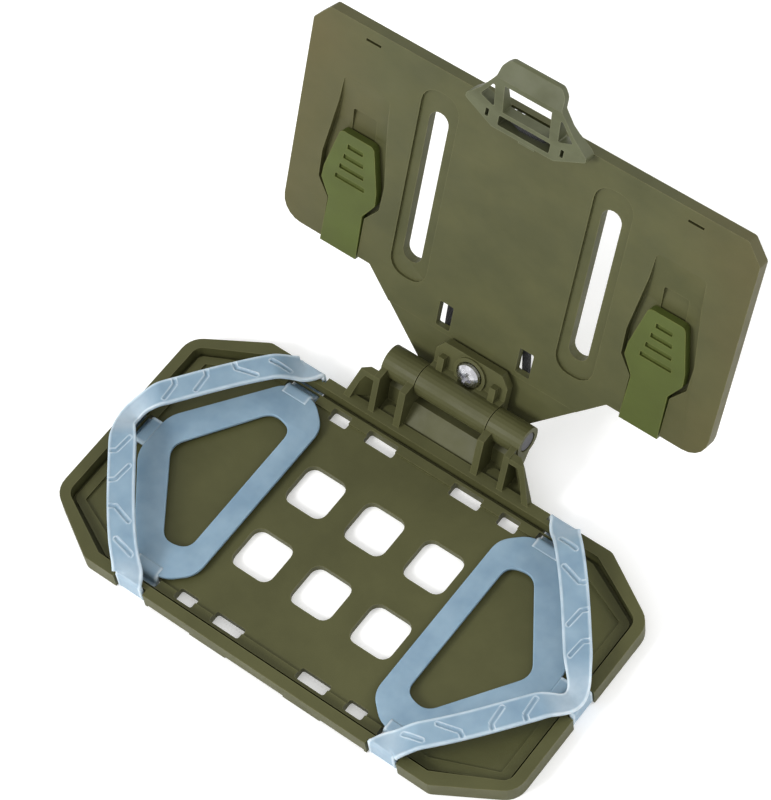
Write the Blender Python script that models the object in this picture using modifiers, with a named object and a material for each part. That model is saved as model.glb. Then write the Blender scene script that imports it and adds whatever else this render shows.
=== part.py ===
"""Flip-down phone mount for a vest: a tray with silicone bands, hinged to a back plate with clips.

Sizes are in millimetres and are turned into metres by MM. The tray lies flat on z = 0 and the
hinge axis runs along X. Everything on the back plate is drawn upright in the plate's own frame,
whose origin is on the hinge axis: X across, Y to the back, Z up the plate. An empty on the hinge
axis carries that frame and leans it back to the opening angle.
"""
import math

import bmesh
import bpy
from mathutils import Matrix, Vector

MM = 0.001
GAP = 0.3                   # clearance between touching pieces
ORIGIN_SHIFT = 28.06        # hinge axis to the middle of the whole object, along Y

# Tray
TRAY_HALF_LENGTH = 93.0
TRAY_BACK = -12.5
TRAY_FRONT = -110.4
TRAY_MID = (TRAY_BACK + TRAY_FRONT) / 2
TRAY_CUT_X = 23.8           # corner cut along X
TRAY_CUT_Y = 13.9           # corner cut along Y
RIM_HEIGHT = 7.0
RIM_WIDTH = 3.9
FLOOR_TOP = 2.6
LEDGE_TOP = 3.6
LEDGE_WIDTH = 3.35
GROOVE = 1.5

# Band seats in the rim
SEAT_X = (44.9, 57.1)       # on the long sides
SEAT_DEPTH = 2.2
SEAT_LOW = 1.9
SIDE_SEAT_HALF = 5.6        # on the short sides, half width along Y
SLOT_WIDTH = 3.6
SKIRT_GAPS = ((-44.0, -26.6), (-12.0, 11.6), (26.2, 43.9))   # where the front wall stops short of the ground

# Bands
BAND_THICK = 1.4
STRAP_WIDTH = 9.0
STRAP_TOP = 15.0
BAND_WIDTH = 10.4

# Hinge
AXIS_Z = 18.1
OPEN_LEAN = 22.34           # degrees that the open plate leans back from upright
BARREL_R = 5.5
BARREL_END = 27.6
ARM_HALF = 27.2
KNUCKLE_HALF = 14.1
PIN_R = 2.5
PIN_HOLE_R = 2.8
PIN_HEAD_R = 3.4
PIN_SEAT_R = 3.7
WASHER_R = 4.5
WASHER_SEAT_R = 4.8

# Back plate
FRONT = 8.05                # plate's front face behind the hinge axis
BACK = 12.65
PLATE_HALF = 83.8
PLATE_TOP = 109.15
WING_LOW = 24.05
WING_INNER = 47.15
BEND_Z = 14.45
APRON_LOW = -2.0
APRON_STEP = 0.3
SLOT_X = 32.8
SLOT_HALF = 3.7
SLOT_Z = (33.3, 92.9)
WINDOW_X = 15.9
WINDOW_Z = (16.25, 26.15)
SHEET_BACK = 10.6           # back of the thin sheet behind the middle of the plate
SCREW_Z = 9.05
POCKET_DEPTH = 2.6
CORD_SLOT_HALF = 9.4
TOP_RAIL = (9.8, 108.2)     # front and underside of the thin rail over the catch's slot

# Hinge bracket's tab
TAB_FRONT = 3.9
TAB_BACK = 6.9

# Clips
CLIP_X = 59.75
CLIP_PIVOT = (9.0, 24.2)    # y and z of the lever's pivot
CLIP_PIVOT_R = 1.4

# Catch
CATCH_FRONT = 3.35
CATCH_BACK = FRONT - GAP
CORD_R = 1.5
CORD_Z = 106.4

SEGMENTS = 5                # straight runs to each rounded corner
ROUND = 24                  # sides of a round piece


# ---- helpers -------------------------------------------------------------------------------

def collection(name):
    made = bpy.data.collections.new(name)
    bpy.context.scene.collection.children.link(made)
    return made


def material(name, colour, roughness, metallic=0.0):
    made = bpy.data.materials.new(name)
    made.use_nodes = True
    shader = made.node_tree.nodes["Principled BSDF"]
    shader.inputs["Base Color"].default_value = (*colour, 1.0)
    shader.inputs["Roughness"].default_value = roughness
    shader.inputs["Metallic"].default_value = metallic
    return made


def fillet(points, radii):
    """Round the corners of a polygon. radii is one number, or one for each corner."""
    count = len(points)
    if not isinstance(radii, (list, tuple)):
        radii = [radii] * count
    out = []
    for i, radius in enumerate(radii):
        here = Vector(points[i])
        before = Vector(points[i - 1]) - here
        after = Vector(points[(i + 1) % count]) - here
        if radius <= 0:
            out.append(tuple(here))
            continue
        half = before.angle(after) / 2
        reach = min(radius / math.tan(half), 0.49 * min(before.length, after.length))
        radius = reach * math.tan(half)
        start = here + before.normalized() * reach
        end = here + after.normalized() * reach
        centre = here + (before.normalized() + after.normalized()).normalized() * radius / math.sin(half)
        first = start - centre
        turn = first.angle_signed(end - centre)
        for k in range(SEGMENTS + 1):
            out.append(tuple(centre + Matrix.Rotation(-turn * k / SEGMENTS, 2) @ first))
    return out


def circle(centre, radius, sides=ROUND):
    return [(centre[0] + radius * math.cos(2 * math.pi * k / sides),
             centre[1] + radius * math.sin(2 * math.pi * k / sides)) for k in range(sides)]


def rectangle(x0, x1, y0, y1, radius=0.0):
    return fillet([(x0, y0), (x1, y0), (x1, y1), (x0, y1)], radius)


def mirrored(points):
    """The right half of an outline, bottom to top, with its mirror image on the left."""
    return points + [(-x, y) for x, y in reversed(points) if abs(x) > 1e-9]


PLANES = {
    "XY": Matrix(((1, 0, 0), (0, 1, 0), (0, 0, 1))).to_4x4(),
    "XZ": Matrix(((1, 0, 0), (0, 0, -1), (0, 1, 0))).to_4x4(),
    "YZ": Matrix(((0, 0, 1), (1, 0, 0), (0, 1, 0))).to_4x4(),
}


class Workshop:
    """Where new objects go, and the frame that they are drawn in."""

    def __init__(self, parts, cutters):
        self.parts = parts
        self.cutters = cutters
        self.parent = None

    def place(self, obj, cutter=False):
        (self.cutters if cutter else self.parts).objects.link(obj)
        obj.parent = self.parent
        if cutter:
            obj.hide_render = True
            obj.display_type = "WIRE"
        return obj

    def slab(self, name, outlines, plane, low, high, cutter=False):
        """A flat outline with its holes, drawn in a plane and given a thickness from low to high."""
        curve = bpy.data.curves.new(name, "CURVE")
        curve.dimensions = "2D"
        curve.fill_mode = "BOTH"
        curve.extrude = (high - low) / 2 * MM
        for outline in outlines:
            spline = curve.splines.new("POLY")
            spline.points.add(len(outline) - 1)
            spline.use_cyclic_u = True
            for point, (x, y) in zip(spline.points, outline):
                point.co = (x * MM, y * MM, 0, 1)
        side = -1 if plane == "XZ" else 1
        rise = Matrix.Translation((0, 0, side * (low + high) / 2 * MM))
        return self.from_curve(name, curve, PLANES[plane] @ rise, cutter)

    def from_curve(self, name, curve, matrix, cutter=False):
        """Turn a curve into a closed mesh object and drop the curve."""
        drawn = bpy.data.objects.new(name + "_curve", curve)
        bpy.context.scene.collection.objects.link(drawn)
        graph = bpy.context.evaluated_depsgraph_get()
        mesh = bpy.data.meshes.new_from_object(drawn.evaluated_get(graph))
        bpy.data.objects.remove(drawn)
        shape = bmesh.new()
        shape.from_mesh(mesh)
        bmesh.ops.remove_doubles(shape, verts=shape.verts, dist=0.000001)
        bmesh.ops.dissolve_limit(shape, angle_limit=0.001, verts=shape.verts, edges=shape.edges)
        bmesh.ops.transform(shape, matrix=matrix, verts=shape.verts)
        bmesh.ops.recalc_face_normals(shape, faces=shape.faces)
        shape.to_mesh(mesh)
        shape.free()
        mesh.name = name
        return self.place(bpy.data.objects.new(name, mesh), cutter)

    def rod(self, name, centre, axis, radius, low, high, cutter=False, sides=ROUND, top_radius=None):
        """A round bar along X, Y or Z, from low to high along that axis."""
        shape = bmesh.new()
        bmesh.ops.create_cone(shape, cap_ends=True, segments=sides, depth=(high - low) * MM,
                              radius1=radius * MM, radius2=(top_radius or radius) * MM)
        turn = {"X": Matrix.Rotation(math.pi / 2, 4, "Y"), "Y": Matrix.Rotation(-math.pi / 2, 4, "X"),
                "Z": Matrix.Identity(4)}[axis]
        mid = Vector(centre)
        mid["XYZ".index(axis)] = (low + high) / 2
        bmesh.ops.transform(shape, matrix=Matrix.Translation(mid * MM) @ turn, verts=shape.verts)
        mesh = bpy.data.meshes.new(name)
        shape.to_mesh(mesh)
        shape.free()
        return self.place(bpy.data.objects.new(name, mesh), cutter)

    def box(self, name, low, high, cutter=False):
        """A block from its lowest corner to its highest."""
        shape = bmesh.new()
        bmesh.ops.create_cube(shape, size=1.0)
        size = [(b - a) * MM for a, b in zip(low, high)]
        mid = Vector([(a + b) / 2 * MM for a, b in zip(low, high)])
        bmesh.ops.scale(shape, vec=size, verts=shape.verts)
        bmesh.ops.translate(shape, vec=mid, verts=shape.verts)
        mesh = bpy.data.meshes.new(name)
        shape.to_mesh(mesh)
        shape.free()
        return self.place(bpy.data.objects.new(name, mesh), cutter)


def combine(target, others, operation):
    for other in others:
        step = target.modifiers.new(other.name, "BOOLEAN")
        step.operation = operation
        step.object = other
        step.solver = "EXACT"


def cut(target, others):
    combine(target, others, "DIFFERENCE")


def join(target, others):
    combine(target, others, "UNION")


def finish(obj, look, smooth=False):
    obj.data.materials.clear()
    obj.data.materials.append(look)
    if smooth:
        obj.data.shade_smooth()
        obj.data.set_sharp_from_angle(angle=math.radians(35))
    return obj


# ---- tray ----------------------------------------------------------------------------------

def tray_outline(inset, corner=8.0):
    """The tray's eight-sided outline, moved inwards by inset."""
    half, low, high = TRAY_HALF_LENGTH - inset, TRAY_FRONT + inset, TRAY_BACK - inset
    slope = math.atan2(TRAY_CUT_Y, TRAY_CUT_X)
    cut_x = TRAY_CUT_X - inset * math.tan(slope / 2)
    cut_y = TRAY_CUT_Y - inset * math.tan((math.pi / 2 - slope) / 2)
    side = max(corner - inset, 1.0)
    end = max(4.0 - inset, 0.8)
    points = [(half, low + cut_y), (half, high - cut_y), (half - cut_x, high),
              (cut_x - half, high), (-half, high - cut_y), (-half, low + cut_y),
              (cut_x - half, low), (half - cut_x, low)]
    return fillet(points, [side, side, end, end, side, side, end, end])


def arm_profile():
    """Side view of the hinge arm: foot on the back rail, knee, and the seat of the barrel."""
    return [(-15.6, 3.0), (-15.2, 6.0), (-9.2, 20.4), (-6.6, 20.6), (0.0, 20.6), (3.6, 20.2),
            (4.4, 15.6), (-9.0, 0.6), (-12.6, 0.0), (-14.0, 3.0)]


def outer_arm_profile():
    """Side view of the web that braces the barrel's end from outside."""
    return [(-15.5, 3.1), (-15.1, 6.0), (-9.2, 20.1), (-6.8, 20.3), (-4.4, 15.0), (-4.6, 11.0),
            (-8.6, 0.7), (-12.6, 0.1), (-14.0, 3.1)]


def hinge_arm(shop):
    """Fork of the hinge: ribs on the back rail with the two outer barrels let into their tops."""
    arm = shop.slab("arm", [arm_profile()], "YZ", -ARM_HALF, ARM_HALF, cutter=True)
    cuts = []
    wings = []
    for side in (-1, 1):
        span = sorted((side * (ARM_HALF - 0.4), side * 37.8))
        wing = shop.slab("arm_wing", [outer_arm_profile()], "YZ", *span, cutter=True)
        taper = [(side * x, z) for x, z in [(37.6, -1.0), (45.0, -1.0), (45.0, 30.0), (32.6, 30.0),
                                            (32.8, 20.0),
                                            (37.6, 6.7)]]
        bay = [(side * x, z) for x, z in [(ARM_HALF, 5.5), (35.4, 5.5), (31.4, 18.4), (ARM_HALF, 18.4)]]
        front_part = [(side * x, y) for x, y in [(ARM_HALF - 1.0, -20.0), (36.4, -20.0), (36.4, -14.4),
                                                 (ARM_HALF - 1.0, -6.4)]]
        behind = [(side * x, y) for x, y in [(ARM_HALF + 0.1, -4.6), (39.5, -13.9), (39.5, 5.0),
                                             (ARM_HALF + 0.1, 5.0)]]
        hollow = shop.slab("wing_bay", [bay], "XZ", -18.0, -5.0, cutter=True)
        combine(hollow, [shop.slab("bay_plan", [front_part], "XY", 2.0, 22.0, cutter=True)], "INTERSECT")
        cut(wing, [shop.slab("wing_taper", [taper], "XZ", -20.0, 8.0, cutter=True),
                   shop.slab("wing_back", [behind], "XY", -2.0, 24.0, cutter=True), hollow])
        wings.append(wing)
        span = sorted((side * 17.0, side * 25.0))
        bay = [(-18.0, 5.5), (-7.0, 5.5), (-5.0, 11.5), (-1.0, 14.0), (8.0, 14.0), (8.0, 24.0), (-18.0, 24.0)]
        cuts.append(shop.slab("arm_bay", [bay], "YZ", *span, cutter=True))
    slope = [(-18.0, 4.0), (-14.6, 4.0), (-5.6, 11.4), (0.0, 9.6), (10.0, 9.6), (10.0, 30.0), (-18.0, 30.0)]
    cuts.append(shop.slab("arm_middle", [slope], "YZ", -KNUCKLE_HALF - 0.4, KNUCKLE_HALF + 0.4, cutter=True))
    cuts.append(shop.rod("arm_knuckle_room", (0, 0, AXIS_Z), "X", BARREL_R + 0.7,
                         -KNUCKLE_HALF - 0.4, KNUCKLE_HALF + 0.4, cutter=True))
    cut(arm, cuts)
    barrels = [shop.rod("barrel", (0, 0, AXIS_Z), "X", BARREL_R, *sorted((side * 14.44, side * BARREL_END)),
                        cutter=True) for side in (-1, 1)]
    pads = [shop.rod("arm_pad", (side * 21.0, -11.0, 0), "Z", 2.5, 4.0, 6.2, cutter=True) for side in (-1, 1)]
    join(arm, wings + barrels + pads)
    return arm


def tray_floor_cuts(shop):
    """Windows in the floor, the slots that the bands come up through, and the groove round the edge."""
    cuts = []
    front, back = TRAY_FRONT, TRAY_BACK
    for side in (-1, 1):
        for near, sign in ((front, 1), (back, -1)):
            rows = sorted((near + sign * 6.4, near + sign * 10.9))
            spans = [(11.4, 23.2), (30.6, 38.0)]
            for low, high in spans:
                xs = sorted((side * low, side * high))
                cuts.append(shop.slab("floor_window", [rectangle(*xs, *rows, 0.8)], "XY", -1, 9, cutter=True))
            ys = sorted((near + sign * 5.6, near + sign * (5.6 + SLOT_WIDTH)))
            xs = sorted((side * (SEAT_X[0] - 0.2), side * (SEAT_X[1] + 0.2)))
            cuts.append(shop.slab("band_slot", [rectangle(*xs, *ys, 0.6)], "XY", -1, 9, cutter=True))
        xs = sorted((side * (TRAY_HALF_LENGTH - 5.6), side * (TRAY_HALF_LENGTH - 5.6 - SLOT_WIDTH)))
        ys = (TRAY_MID - SIDE_SEAT_HALF - 0.25, TRAY_MID + SIDE_SEAT_HALF + 0.25)
        cuts.append(shop.slab("band_slot", [rectangle(*xs, *ys, 0.6)], "XY", -1, 9, cutter=True))
    for x in (-24.0, 0.0, 24.0):
        for y in (TRAY_MID - 14.0, TRAY_MID + 14.0):
            hole = rectangle(x - 8.0, x + 8.0, y - 8.0, y + 8.0, 3.5)
            cuts.append(shop.slab("floor_opening", [hole], "XY", -1, 9, cutter=True))
    return cuts


def band_seat_cuts(shop):
    """Where each band wraps the rim: let into the outer wall and under the floor."""
    cuts = []
    for side in (-1, 1):
        xs = sorted((side * SEAT_X[0], side * SEAT_X[1]))
        for edge, sign in ((TRAY_FRONT, 1), (TRAY_BACK, -1)):
            ys = sorted((edge - sign * 2.0, edge + sign * SEAT_DEPTH))
            cuts.append(shop.box("seat_wall", (xs[0], ys[0], -1), (xs[1], ys[1], RIM_HEIGHT + 1), cutter=True))
            ys = sorted((edge - sign * 2.0, edge + sign * 9.0))
            cuts.append(shop.box("seat_under", (xs[0], ys[0], -1), (xs[1], ys[1], SEAT_LOW), cutter=True))
        ys = (TRAY_MID - SIDE_SEAT_HALF, TRAY_MID + SIDE_SEAT_HALF)
        edge = side * TRAY_HALF_LENGTH
        xs = sorted((edge + side * 2.0, edge - side * SEAT_DEPTH))
        cuts.append(shop.box("seat_wall", (xs[0], ys[0], -1), (xs[1], ys[1], RIM_HEIGHT + 1), cutter=True))
        xs = sorted((edge + side * 2.0, edge - side * 9.0))
        cuts.append(shop.box("seat_under", (xs[0], ys[0], -1), (xs[1], ys[1], SEAT_LOW), cutter=True))
    return cuts


def build_tray(shop, look):
    tray = shop.slab("tray", [tray_outline(0.0)], "XY", 0.0, RIM_HEIGHT)
    bay = shop.slab("bay", [tray_outline(RIM_WIDTH)], "XY", LEDGE_TOP, RIM_HEIGHT + 2, cutter=True)
    ring = [tray_outline(RIM_WIDTH), tray_outline(RIM_WIDTH + GROOVE)]
    groove = shop.slab("groove", ring, "XY", 1.6, LEDGE_TOP + 1, cutter=True)
    well = shop.slab("well", [tray_outline(RIM_WIDTH + GROOVE + LEDGE_WIDTH)], "XY", FLOOR_TOP,
                     RIM_HEIGHT + 3, cutter=True)
    cut(tray, [bay, groove, well])
    join(tray, [hinge_arm(shop)])
    relief = [shop.box("skirt_relief", (low, TRAY_FRONT - 2.0, -1.0), (high, TRAY_FRONT + 1.3, 1.1), cutter=True)
              for low, high in SKIRT_GAPS]
    cut(tray, tray_floor_cuts(shop) + band_seat_cuts(shop) + relief)
    bore = shop.rod("pin_bore", (0, 0, AXIS_Z), "X", PIN_HOLE_R, -40, 40, cutter=True)
    seats = [shop.rod("pin_seat", (0, 0, AXIS_Z), "X", PIN_SEAT_R,
                      *sorted((side * (BARREL_END - 1.6), side * 40)), cutter=True) for side in (-1, 1)]
    cut(tray, [bore] + seats)
    return finish(tray, look)


def build_hinge_pin(shop, look):
    """Steel pin: a shank through all three barrels and a flat head let into the right-hand one."""
    pin = shop.rod("hinge_pin", (0, 0, AXIS_Z), "X", PIN_R, -BARREL_END + 1.0, BARREL_END - 1.0)
    head = shop.rod("pin_head", (0, 0, AXIS_Z), "X", PIN_HEAD_R, BARREL_END - 1.3, BARREL_END - 0.2,
                    cutter=True)
    join(pin, [head])
    return finish(pin, look, smooth=True)


def build_pin_cap(shop, look):
    """Push-on cap that keeps the pin's left-hand end."""
    cap = shop.rod("pin_cap", (0, 0, AXIS_Z), "X", PIN_HEAD_R, -BARREL_END + 0.2, -BARREL_END + 1.3)
    hollow = shop.rod("cap_hollow", (0, 0, AXIS_Z), "X", PIN_R + 0.05, -BARREL_END + 0.7, 0, cutter=True)
    cut(cap, [hollow])
    return finish(cap, look, smooth=True)


def build_friction_washer(shop, name, side, look):
    """Thin washer let into the knuckle's end, which gives the hinge its drag."""
    low, high = sorted((side * (KNUCKLE_HALF - 1.0), side * (KNUCKLE_HALF + 0.2)))
    rings = [circle((0, AXIS_Z), WASHER_R), circle((0, AXIS_Z), PIN_HOLE_R)]
    washer = shop.slab(name, rings, "YZ", low, high)
    return finish(washer, look, smooth=True)


# ---- silicone bands ------------------------------------------------------------------------

def wrap_outline(edge, sign):
    """Closed C-shaped section of the wrap: web end, down through the slot, under the rim, up outside."""
    outer = edge + sign * (SEAT_DEPTH - GAP - BAND_THICK)
    inner = edge + sign * (SEAT_DEPTH - GAP)
    slot_in = edge + sign * (5.6 + SLOT_WIDTH - 0.4)
    slot_out = slot_in - sign * BAND_THICK
    low, high = 0.2, 0.2 + BAND_THICK
    web = LEDGE_TOP + GAP + 0.1
    thick = BAND_THICK - 0.2
    web_end = slot_in + sign * 4.0
    top = RIM_HEIGHT + GAP
    strap_end = inner + sign * 3.0
    return [(outer, low), (slot_in, low), (slot_in, web), (web_end, web), (web_end, web + thick),
            (slot_out, web + thick), (slot_out, high), (inner, high), (inner, top),
            (strap_end, top + 1.2), (strap_end, top + 1.2 + BAND_THICK), (outer, top + BAND_THICK)]


def strap_profile(length):
    """Side view of one strap arm along its own run: up from the long side, over, down to the short side."""
    under = STRAP_TOP - BAND_THICK
    low = RIM_HEIGHT + 1.6
    steps = 7
    climb, drop = 13.0, 9.0
    path = [(0.0, low)]
    for k in range(1, steps + 1):
        t = k / steps
        path.append((climb * t, low + (under - low) * (0.5 - 0.5 * math.cos(math.pi * t))))
    for k in range(0, steps + 1):
        t = k / steps
        path.append((length - drop * (1 - t), low + (under - low) * (0.5 + 0.5 * math.cos(math.pi * t))))
    return path + [(s, z + BAND_THICK) for s, z in reversed(path)]


def build_band(shop, name, side, look):
    """One silicone band: a flat web on the floor, three wraps round the rim and a V of two straps."""
    web_z = LEDGE_TOP + GAP
    inside = TRAY_HALF_LENGTH - 5.6 - SLOT_WIDTH + 0.4
    ring = fillet([(36.0, TRAY_FRONT + 16.0), (44.0, TRAY_FRONT + 8.8), (56.0, TRAY_FRONT + 8.8),
                   (inside, TRAY_MID - 8.0), (inside, TRAY_MID + 8.0), (56.0, TRAY_BACK - 8.8),
                   (44.0, TRAY_BACK - 8.8), (36.0, TRAY_BACK - 16.0)], 3.0)
    hole = fillet([(44.0, TRAY_FRONT + 22.0), (53.0, TRAY_FRONT + 20.0), (74.0, TRAY_MID),
                   (53.0, TRAY_BACK - 20.0), (44.0, TRAY_BACK - 22.0)], 4.0)
    flip = [[(side * x, y) for x, y in outline] for outline in (ring, hole)]
    band = shop.slab(name, flip, "XY", web_z, web_z + BAND_THICK)
    mid_x = (SEAT_X[0] + SEAT_X[1]) / 2
    xs = sorted((side * (mid_x - BAND_WIDTH / 2), side * (mid_x + BAND_WIDTH / 2)))
    pieces = []
    for edge, sign in ((TRAY_FRONT, 1), (TRAY_BACK, -1)):
        pieces.append(shop.slab("wrap_long", [wrap_outline(edge, sign)], "YZ", *xs, cutter=True))
    shape = wrap_outline(side * TRAY_HALF_LENGTH, -side)
    ys = (TRAY_MID - SIDE_SEAT_HALF + 0.6, TRAY_MID + SIDE_SEAT_HALF - 0.6)
    pieces.append(shop.slab("wrap_short", [shape], "XZ", *ys, cutter=True))
    for sign, edge in ((1, TRAY_FRONT), (-1, TRAY_BACK)):
        start = Vector((side * (mid_x + 0.06 * sign), edge + sign * 3.2, 0))
        end = Vector((side * (TRAY_HALF_LENGTH - 3.0), TRAY_MID - sign * 2.0, 0))
        run = (end - start).length
        strap = shop.slab("strap", [strap_profile(run)], "XZ", -STRAP_WIDTH / 2, STRAP_WIDTH / 2, cutter=True)
        turn = math.atan2((end - start).y, (end - start).x)
        strap.data.transform(Matrix.Translation(start * MM) @ Matrix.Rotation(turn, 4, "Z"))
        pieces.append(strap)
    join(band, pieces)
    return finish(band, look)


# ---- back plate ----------------------------------------------------------------------------

def plate_outline():
    right = [(APRON_LOW + 23.1, APRON_LOW), (WING_INNER, WING_LOW), (PLATE_HALF, WING_LOW + 0.1),
             (PLATE_HALF, PLATE_TOP - 6.5), (PLATE_HALF - 5.6, PLATE_TOP)]
    radii = [1.0, 1.0, 8.0, 1.5, 1.5]
    return fillet(mirrored(right), radii + radii[::-1])


def clip_outline(gap=0.0):
    """Front lever of a clip, about its own centre line: neck, shoulders and tapered thumb head."""
    right = [(7.3, CLIP_PIVOT[1] - 1.3), (6.9, 40.6), (10.9, 47.0), (10.6, 52.0), (6.7, 68.2)]
    right = [(x + gap, z + (gap if z > 60 else 0)) for x, z in right]
    return mirrored(right)


def clip_pocket():
    """Recess round a clip, wider than the head and open at the plate's bottom edge."""
    right = [(7.5, WING_LOW - 4), (7.5, 39.8), (12.3, 46.0), (12.6, 56.0), (9.6, 78.0), (9.0, 88.0)]
    return fillet(mirrored(right), [0, 0.8, 1.5, 4.0, 3.0, 1.5, 1.5, 3.0, 4.0, 1.5, 0.8, 0])


def shifted(points, dx):
    return [(x + dx, z) for x, z in points]


def build_back_plate(shop, look):
    plate = shop.slab("back_plate", [plate_outline()], "XZ", FRONT, BACK)
    cuts = []
    for side in (-1, 1):
        x = side * SLOT_X
        slot = rectangle(x - SLOT_HALF, x + SLOT_HALF, *SLOT_Z, SLOT_HALF)
        cuts.append(shop.slab("webbing_slot", [slot], "XZ", 0, 20, cutter=True))
        channel = rectangle(x - 7.2, x + 7.2, SLOT_Z[0] - 6.5, SLOT_Z[1] + 8.0, 6.0)
        cuts.append(shop.slab("slot_channel", [channel], "XZ", 0, FRONT + 1.0, cutter=True))
        window = rectangle(side * WINDOW_X - 2.7, side * WINDOW_X + 2.7, *WINDOW_Z, 0.5)
        cuts.append(shop.slab("cord_window", [window], "XZ", 0, 20, cutter=True))
        pocket = shifted(clip_pocket(), side * CLIP_X)
        deep = FRONT + POCKET_DEPTH
        ramp = [(1.0, 12.0), (deep, 12.0), (deep, 69.5), (FRONT, 88.0), (FRONT - 0.2, 91.0), (1.0, 91.0)]
        hollow = shop.slab("clip_pocket", [pocket], "XZ", 0, 20, cutter=True)
        span = (side * CLIP_X - 15.0, side * CLIP_X + 15.0)
        combine(hollow, [shop.slab("pocket_ramp", [ramp], "YZ", *span, cutter=True)], "INTERSECT")
        cuts.append(hollow)
        rest = rectangle(side * CLIP_X - 4.6, side * CLIP_X + 4.6, 62.0, 76.8, 0.8)
        cuts.append(shop.slab("head_recess", [rest], "XZ", 0, deep + 0.5, cutter=True))
        line = rectangle(side * 60.5 - 2.9, side * 60.5 + 2.9, 104.4, 105.3)
        cuts.append(shop.slab("edge_slit", [line], "XZ", 0, FRONT + 1.6, cutter=True))
    apron = rectangle(-60, 60, -10, BEND_Z)
    cuts.append(shop.slab("apron_step", [apron], "XZ", 0, FRONT + APRON_STEP, cutter=True))
    hollow = rectangle(-23.6, 23.6, -10, 103.6, 2.0)
    cuts.append(shop.slab("back_hollow", [hollow], "XZ", SHEET_BACK, 20, cutter=True))
    half = CORD_SLOT_HALF
    rail_front, rail_low = TOP_RAIL
    cuts.append(shop.box("catch_slot_front", (-half, 0, 103.1), (half, rail_front, PLATE_TOP + 3), cutter=True))
    cuts.append(shop.box("catch_slot_back", (-half, rail_front - 0.1, 103.1), (half, 20, rail_low), cutter=True))
    cuts.append(shop.box("cord_room", (-12.0, SHEET_BACK, 100.0), (12.0, 20, 106.3), cutter=True))
    cuts.append(shop.box("link_slot", (-3.4, 0, 99.3), (3.4, 20, 103.5), cutter=True))
    cut(plate, cuts)
    anchors = [shop.box("cord_bar", (side * WINDOW_X - 4.0, SHEET_BACK - 0.4, 6.6),
                        (side * WINDOW_X + 4.0, BACK + 2.8, 9.6), cutter=True) for side in (-1, 1)]
    join(plate, anchors)
    holes = [shop.rod("cord_bore", (side * WINDOW_X, SHEET_BACK + GAP + CORD_R, 0), "Z", CORD_R + GAP,
                      0, 14, cutter=True, sides=16) for side in (-1, 1)]
    holes.append(shop.rod("screw_hole", (0, 0, SCREW_Z), "Y", 2.7, 0, 20, cutter=True))
    cut(plate, holes)
    return finish(plate, look)


def build_hinge_bracket(shop, look):
    """Middle knuckle of the hinge with the flat tab that the screw holds against the plate."""
    tab = mirrored([(14.2, 0.5), (14.2, 11.5), (11.3, 15.4)])
    bracket = shop.slab("hinge_bracket", [fillet(tab, [0, 1.2, 1.2, 1.2, 1.2, 0])], "XZ", TAB_FRONT, TAB_BACK)
    knuckle = shop.rod("knuckle", (0, 0, 0), "X", BARREL_R, -KNUCKLE_HALF, KNUCKLE_HALF, cutter=True)
    root = [(-1.0, 4.2), (TAB_FRONT, 6.0), (TAB_BACK - 0.1, 6.0), (TAB_BACK - 0.1, -0.6), (0.0, -3.0)]
    web = shop.slab("knuckle_web", [root], "YZ", -KNUCKLE_HALF + 0.05, KNUCKLE_HALF - 0.05, cutter=True)
    boss = shop.slab("screw_boss", [circle((0, SCREW_Z), 6.2)], "XZ", TAB_FRONT - 0.9, TAB_FRONT + 1.0,
                     cutter=True)
    foot = shop.slab("tab_foot", [rectangle(-9.0, 9.0, 1.5, 14.0, 2.0)], "XZ", TAB_BACK - 1.0, FRONT - GAP,
                     cutter=True)
    blocks = [shop.box("guide_block", (side * 10.3 - 1.15, 1.3, 2.6),
                       (side * 10.3 + 1.15, TAB_FRONT + 0.5, 10.9), cutter=True) for side in (-1, 1)]
    join(bracket, [knuckle, web, boss, foot] + blocks)
    cuts = [shop.rod("bore", (0, 0, 0), "X", PIN_HOLE_R, -20, 20, cutter=True),
            shop.rod("head_room", (0, 0, SCREW_Z), "Y", 5.0, 0.3, 3.6, cutter=True),
            shop.rod("screw_bore", (0, 0, SCREW_Z), "Y", 2.7, 0.3, 20, cutter=True)]
    for side in (-1, 1):
        span = sorted((side * (KNUCKLE_HALF - 1.3), side * 20))
        cuts.append(shop.rod("washer_seat", (0, 0, 0), "X", WASHER_SEAT_R, *span, cutter=True))
    cut(bracket, cuts)
    return finish(bracket, look)


def build_bracket_screw(shop, look):
    """Cross-head pan screw: a turned head and shank, with the cross cut into the head."""
    head = [(0.0, 0.7), (1.8, 0.8), (3.2, 1.2), (4.2, 2.0), (4.6, 3.3), (2.4, 3.3), (2.4, 14.6), (0.0, 14.6)]
    curve = [(r, -y) for r, y in head]
    mesh = bpy.data.meshes.new("bracket_screw")
    mesh.from_pydata([(r * MM, 0, z * MM) for r, z in curve], [(i, i + 1) for i in range(len(curve) - 1)], [])
    screw = shop.place(bpy.data.objects.new("bracket_screw", mesh))
    turned = screw.modifiers.new("turn", "SCREW")
    turned.axis = "Z"
    turned.steps = turned.render_steps = ROUND
    turned.use_merge_vertices = True
    turned.merge_threshold = 0.00001
    screw.location = (0, 0, SCREW_Z * MM)
    screw.rotation_euler = (math.pi / 2, 0, 0)
    cross = []
    for angle in (15, 105):
        blade = shop.slab("cross", [rectangle(-2.3, 2.3, -0.55, 0.55)], "XZ", 0, 2.2, cutter=True)
        blade.data.transform(Matrix.Rotation(math.radians(angle), 4, "Y"))
        blade.location = (0, 0, SCREW_Z * MM)
        cross.append(blade)
    cut(screw, cross)
    return finish(screw, look, smooth=True)


def build_screw_washer(shop, look):
    washer = shop.slab("screw_washer", [circle((0, SCREW_Z), 5.0), circle((0, SCREW_Z), 2.7)], "XZ",
                       SHEET_BACK + GAP, SHEET_BACK + GAP + 0.9)
    return finish(washer, look, smooth=True)


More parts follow.
